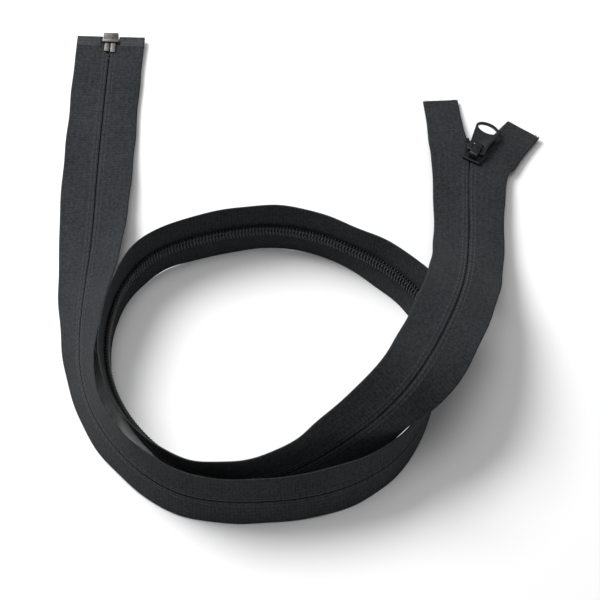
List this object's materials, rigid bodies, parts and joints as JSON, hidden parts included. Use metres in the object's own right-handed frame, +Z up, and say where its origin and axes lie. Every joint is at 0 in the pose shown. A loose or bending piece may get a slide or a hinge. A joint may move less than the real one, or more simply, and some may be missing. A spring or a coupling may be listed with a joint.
{
  "type": "zipper",
  "caption": "Open-end coil zipper with cloth tapes, a locking slider with an oval-eyed pull tab, and a retainer box and pins; laid down as a loop that stands on its edge",
  "frame": {"origin": "on the floor, under the middle of the zipper's outline", "axes": "+Z up; +Y from the loop towards the two flat ends; +X from the retainer box towards the slider"},
  "size_m": [0.2187, 0.249, 0.0574],
  "materials": {
    "tape": "charcoal black woven polyester, matt",
    "coil": "black polyester monofilament, satin",
    "thread": "black sewing thread, matt",
    "film": "dark grey woven reinforcing film, satin",
    "gunmetal": "grey gunmetal plating, satin",
    "slider_paint": "charcoal enamel on zinc alloy, semi-gloss",
    "spring_steel": "bare spring steel"
  },
  "bodies": {
    "closed_chain": {"left_tape": "tape", "left_coil": "coil", "left_filler_cord": "thread", "left_inner_stitching": "thread", "left_outer_stitching": "thread", "left_front_film": "film", "left_back_film": "film", "right_tape": "tape", "right_coil": "coil", "right_filler_cord": "thread", "right_inner_stitching": "thread", "right_outer_stitching": "thread", "right_front_film": "film", "right_back_film": "film", "retainer_box": "gunmetal", "retainer_pin": "gunmetal", "insertion_pin": "gunmetal"},
    "left_flap": {"left_tape_top": "tape", "left_coil_top": "coil", "left_filler_cord_top": "thread", "left_inner_stitching_top": "thread", "left_outer_stitching_top": "thread", "left_top_stop": "slider_paint"},
    "right_flap": {"right_tape_top": "tape", "right_coil_top": "coil", "right_filler_cord_top": "thread", "right_inner_stitching_top": "thread", "right_outer_stitching_top": "thread", "right_top_stop": "slider_paint"},
    "slider": {"slider_body": "slider_paint", "slider_cap": "slider_paint"},
    "pull": {"pull_tab": "slider_paint"},
    "pawl": {"lock_pawl": "spring_steel"}
  },
  "joints": [
    {"name": "slider_slide", "type": "slide", "parent": "closed_chain", "child": "slider", "axis": [-0.0626, -0.9905, 0.1225], "range_m": [0, 0.034], "deforming": ["left_tape_top", "left_coil_top", "left_filler_cord_top", "left_inner_stitching_top", "left_outer_stitching_top", "right_tape_top", "right_coil_top", "right_filler_cord_top", "right_inner_stitching_top", "right_outer_stitching_top"]},
    {"name": "left_flap_turn", "type": "hinge", "parent": "closed_chain", "child": "left_flap", "pos_m": [0.074, 0.01, 0.011], "axis": [0.1465, 0.1123, 0.9828], "range_deg": [0, 6.5]},
    {"name": "right_flap_turn", "type": "hinge", "parent": "closed_chain", "child": "right_flap", "pos_m": [0.074, 0.01, 0.011], "axis": [0.1465, 0.1123, 0.9828], "range_deg": [-6.5, 0]},
    {"name": "pull_tab_swing", "type": "hinge", "parent": "slider", "child": "pull", "pos_m": [0.07899, 0.05279, 0.00847], "axis": [0.8919, -0.4447, -0.0822], "range_deg": [0, 160]},
    {"name": "lock_pawl_lift", "type": "hinge", "parent": "slider", "child": "pawl", "pos_m": [0.08002, 0.05477, 0.00898], "axis": [-0.8919, 0.4447, 0.0822], "range_deg": [0, 3.5]}
  ],
  "couplings": [
    {"joint": "left_flap_turn", "follows": "slider_slide", "rad_per_m": 3.27},
    {"joint": "right_flap_turn", "follows": "slider_slide", "rad_per_m": -3.27},
    {"joint": "lock_pawl_lift", "follows": "pull_tab_swing", "ratio": 0.021}
  ]
}
